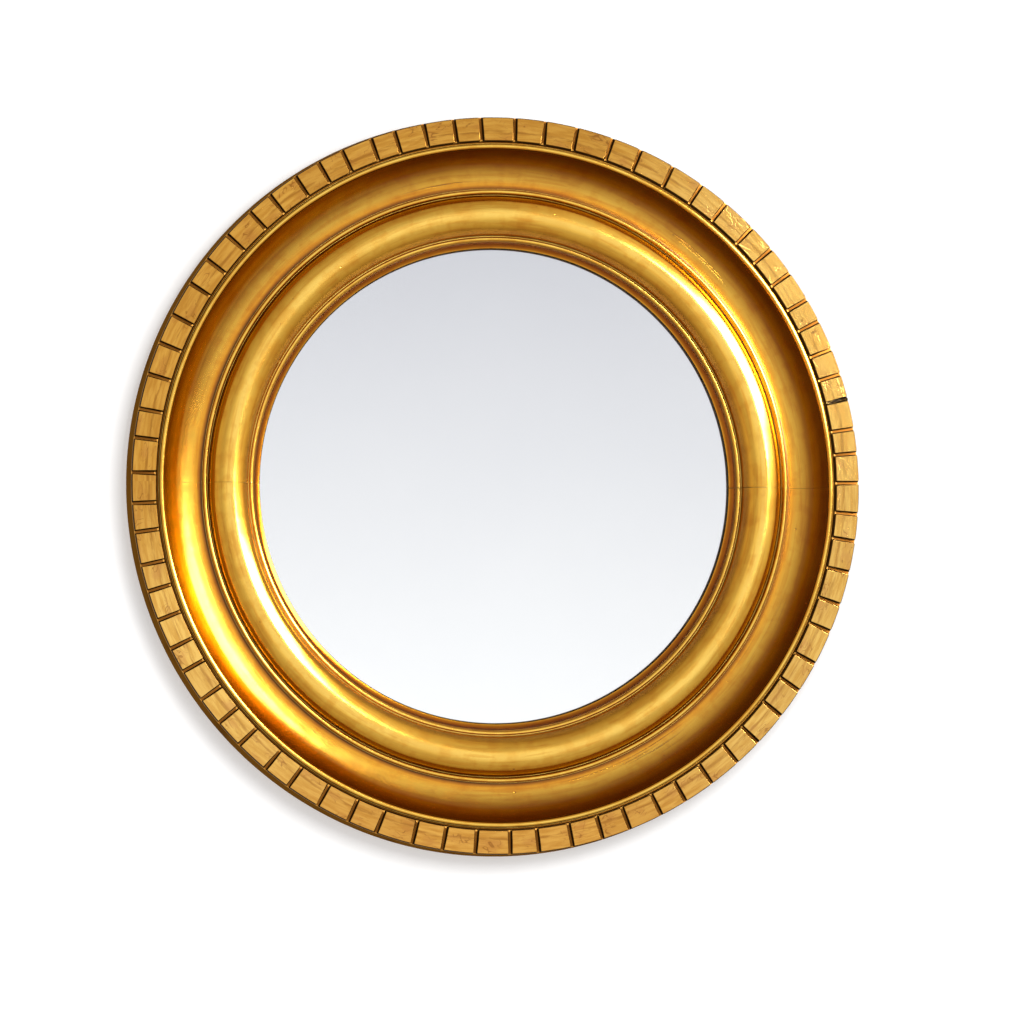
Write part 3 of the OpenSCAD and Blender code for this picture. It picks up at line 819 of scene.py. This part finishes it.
def dome(front, back, edge):
    """Cap between two spheres about the bulge's centre, out to a radius."""
    cap = bmesh.new()
    wide = math.degrees(math.asin(edge / front))
    narrow = math.degrees(math.asin(edge / back))
    top = cap.verts.new(spot(0, BULGE_CENTRE + front))
    out = bmesh.ops.spin(
        cap, geom=[top], cent=spot(0, BULGE_CENTRE), axis=(0, 0, 1), angle=math.radians(wide), steps=RINGS,
        use_merge=False
    )
    tip = bmesh.ops.extrude_vert_indiv(cap, verts=[out["geom_last"][0]])["verts"][0]
    tip.co = spot(edge, BULGE_CENTRE + math.sqrt(back * back - edge * edge))
    bmesh.ops.spin(
        cap, geom=[tip], cent=spot(0, BULGE_CENTRE), axis=(0, 0, -1), angle=math.radians(narrow),
        steps=RINGS, use_merge=False
    )
    turn_by(cap, 360, SPOKES, merge=True)
    bmesh.ops.remove_doubles(cap, verts=cap.verts[:], dist=POLE_DOUBLES)
    bmesh.ops.recalc_face_normals(cap, faces=cap.faces[:])
    return cap


glass_finish, tree, shader = new_finish("mirror_glass")
haze = mottle(tree, object_place(tree), 9.0, detail=2.0)
plug(
    tree, shader, Base_Color=tint(tree, haze, (0.985, 0.992, 0.99, 1), (0.975, 0.985, 0.985, 1)),
    Roughness=0.0, IOR=1.5, Transmission_Weight=1.0
)
glass_back = BULGE_RADIUS - GLASS
glass_disc = dome(BULGE_RADIUS, glass_back, GLASS_EDGE)
bulged_glass = hand_over(glass_disc, "bulged_glass", "frame", "glass", glass_finish, "convex_glass")

silver_finish, tree, shader = new_finish("silver_film")
at = ring_place(tree)
cloud = mottle(tree, at["place"], 6.0, detail=3.0)
film = tint(tree, cloud, (0.93, 0.93, 0.94, 1), (0.9, 0.9, 0.915, 1))
spots = rise(tree, scattered(tree, at["place"], 240.0), 0.3, 0.2)
spots = times(tree, spots, rise(tree, at["radius"], 0.2925, 0.2965))
plug(
    tree, shader, Base_Color=tint(tree, spots, film, (0.12, 0.1, 0.09, 1)), Metallic=1.0,
    Roughness=rise(tree, spots, 0.0, 1.0, 0.0, 0.4)
)
silver_front = glass_back - SILVER_PLAY
silver_disc = dome(silver_front, silver_front - SILVER, GLASS_EDGE)
hand_over(silver_disc, "silver_film", "frame", "silvering", silver_finish, "silvering")


# The backboard: a round softwood board over the back, screwed to the base ring.
# Old, dry pine with an upright grain, a few knots and brown stains.
backboard_pine = wood(
    "backboard_pine", pale=(0.5, 0.32, 0.16, 1), dark=(0.3, 0.16, 0.07, 1), stain=(0.17, 0.09, 0.04, 1),
    grain=25.0, stretch=(6, 1, 0.16), knots=3.0
)
dress(backboard_pine, "backboard")


# The fixings: countersunk and pan-head brass screws, and two straps with a D-ring each.
# Drawn brass, dulled and browned in patches, and smoothest on the rings.
def brass(name, gloss):
    finish, tree, shader = new_finish(name)
    place = object_place(tree)
    tarnish = mottle(tree, place, 160.0, detail=5.0, rough=0.65)
    drawn = mottle(tree, place, 900.0, (1, 1, 0.2), detail=2.0)
    colour = tint(tree, rise(tree, tarnish, 0.4, 0.7), (0.66, 0.44, 0.16, 1), (0.3, 0.17, 0.06, 1))
    rough = rise(tree, tarnish, 0.35, 0.7, gloss, gloss + 0.25)
    plug(tree, shader, Base_Color=colour, Metallic=1.0, Roughness=rough)
    emboss(tree, shader, plus(tree, tarnish, drawn), depth=0.0001)
    return finish


dress(brass("strap_brass", 0.35), "hanger_strap_left", "hanger_strap_right")
dress(brass("ring_brass", 0.22), "hanger_ring_left", "hanger_ring_right")
dress(brass("screw_brass", 0.3), "backboard_screws", "hanger_screws")


# The photographer's view: from a little left of the middle and a little below, with a long lens.
# The picture is 1024 pixels wide and 1.23 mm of the rim falls on each.
PIXEL, PICTURE_WIDTH = 0.00123, 1024
AZIMUTH, ELEVATION, DISTANCE = math.radians(-10.2), math.radians(-2.8), 6.5
PIXELS_RIGHT, PIXELS_DOWN = 16.9, 25.9
MIDDLE_OF_DEPTH = Vector((0, -0.036, 0))
SENSOR = 36.0

back = Vector((
    math.sin(AZIMUTH) * math.cos(ELEVATION), -math.cos(AZIMUTH) * math.cos(ELEVATION), math.sin(ELEVATION)
))
right = Vector((math.cos(AZIMUTH), math.sin(AZIMUTH), 0))
up = right.cross(-back)
aim = MIDDLE_OF_DEPTH + right * PIXELS_RIGHT * PIXEL - up * PIXELS_DOWN * PIXEL
lens = bpy.data.cameras.new("view")
lens.sensor_width = SENSOR
lens.lens = SENSOR * DISTANCE / (PICTURE_WIDTH * PIXEL)
camera = bpy.data.objects.new("view", lens)
camera.location = aim + back * DISTANCE
camera.rotation_mode = "QUATERNION"
camera.rotation_quaternion = (-back).to_track_quat("-Z", "Y")
bpy.context.scene.collection.objects.link(camera)
bpy.context.scene.camera = camera


# The studio: a white wall behind, a pale floor below, a key lamp that shows in the leaf and metal
# only, and a soft fill for what is matt. The papers show to the camera alone, and from their
# front, so that they don't hide or shade the back in other views.
PAPER = 8.0


def lamp(name, off_axis, around, away, long, wide, strength, shows):
    """Soft box that the mirror sees off its axis, and around it from 3 o'clock, both in degrees."""
    light = bpy.data.lights.new(name, "AREA")
    light.shape = "RECTANGLE"
    light.size, light.size_y = wide, long
    light.energy = strength * math.pi * long * wide
    made = bpy.data.objects.new(name, light)
    off_axis = math.radians(off_axis)
    outward, front = outward_at(around), Vector((0, -1, 0))
    direction = front * math.cos(off_axis) + outward * math.sin(off_axis)
    lengthways = outward * math.cos(off_axis) - front * math.sin(off_axis)
    turned = Matrix((lengthways.cross(direction), lengthways, direction)).transposed()
    made.location = direction * away
    made.rotation_mode = "QUATERNION"
    made.rotation_quaternion = turned.to_quaternion()
    made.visible_camera = False
    made.visible_glossy = shows == "metal"
    made.visible_diffuse = shows == "matt"
    made.visible_transmission = False
    bpy.context.scene.collection.objects.link(made)
    return made


key = lamp("key", off_axis=65, around=25.5, away=12.0, long=17.0, wide=4.0, strength=27.0, shows="metal")
flag = bpy.data.collections.new("flagged_off")
flag.objects.link(bulged_glass)
key.light_linking.receiver_collection = flag
flag.collection_objects[0].light_linking.link_state = "EXCLUDE"
lamp("fill", off_axis=8, around=70, away=3.0, long=0.85, wide=0.85, strength=21.5, shows="matt")


def sheet_of_paper(name, place, turned, own_light):
    """Pale paper with a little light of its own, clear from behind."""
    paper = bmesh.new()
    bmesh.ops.create_grid(paper, x_segments=1, y_segments=1, size=0.5)
    bmesh.ops.scale(paper, vec=(PAPER, PAPER, 1), verts=paper.verts[:])
    bmesh.ops.rotate(paper, verts=paper.verts[:], cent=(0, 0, 0), matrix=Matrix.Rotation(turned, 3, "X"))
    bmesh.ops.translate(paper, vec=place, verts=paper.verts[:])
    mesh = bpy.data.meshes.new(name)
    paper.to_mesh(mesh)
    paper.free()
    finish, tree, shader = new_finish(name)
    plug(
        tree, shader, Base_Color=(0.8, 0.8, 0.8, 1), Roughness=1.0, Specular_IOR_Level=0.0,
        Emission_Color=(1, 1, 1, 1), Emission_Strength=own_light
    )
    behind = node(tree, "NewGeometry").outputs["Backfacing"]
    clear = node(tree, "BsdfTransparent").outputs[0]
    seen = node(tree, "MixShader", {0: behind, 1: shader.outputs[0], 2: clear}).outputs[0]
    tree.links.new(seen, tree.nodes["Material Output"].inputs["Surface"])
    mesh.materials.append(finish)
    made = bpy.data.objects.new(name, mesh)
    bpy.context.scene.collection.objects.link(made)
    made.visible_glossy = made.visible_diffuse = made.visible_transmission = made.visible_shadow = False


def room_in_leaf(tree, x, y, z):
    """How bright the room is that the gilding reflects, by the way the reflection looks."""
    ahead = times(tree, y, -1.0)
    glow = rise(tree, ahead, -0.2, 0.75, 0.36, 0.68, way="LINEAR")
    glow = plus(tree, glow, rise(tree, ahead, 0.78, 1.0, high=0.42))
    glow = times(tree, glow, rise(tree, z, -0.8, 0.8, 1.02, 0.96))
    glow = plus(tree, glow, rise(tree, x, -0.72, -1.0, high=0.3))
    lampward = plus(tree, times(tree, x, 0.87), times(tree, z, 0.5))
    glow = plus(tree, glow, rise(tree, lampward, 0.45, 0.9, high=0.3))
    return node(tree, "CombineColor", {0: glow, 1: glow, 2: glow}).outputs[0]


bpy.context.scene.view_settings.view_transform = "Standard"
sheet_of_paper("wall", place=(0, 0.001, 0), turned=math.radians(90), own_light=0.22)
sheet_of_paper("floor", place=(0, -3.0, -1.6), turned=0.0, own_light=0.3)

world = bpy.data.worlds.new("studio")
world.use_nodes = True
bpy.context.scene.world = world
tree = world.node_tree
ray = node(tree, "LightPath").outputs
x, y, z = node(tree, "SeparateXYZ", {0: node(tree, "TexCoord").outputs["Generated"]}).outputs
ceiling = rise(tree, z, -0.42, 0.5, way="LINEAR")
in_glass = tint(tree, ceiling, (1.16, 1.16, 1.16, 1), (0.74, 0.74, 0.78, 1))
lit = tint(tree, ray["Is Glossy Ray"], (0.8, 0.8, 0.8, 1), room_in_leaf(tree, x, y, z))
lit = tint(tree, ray["Is Transmission Ray"], lit, in_glass)
seen = tint(tree, ray["Is Camera Ray"], lit, (1, 1, 1, 1))
tree.links.new(seen, tree.nodes["Background"].inputs[0])
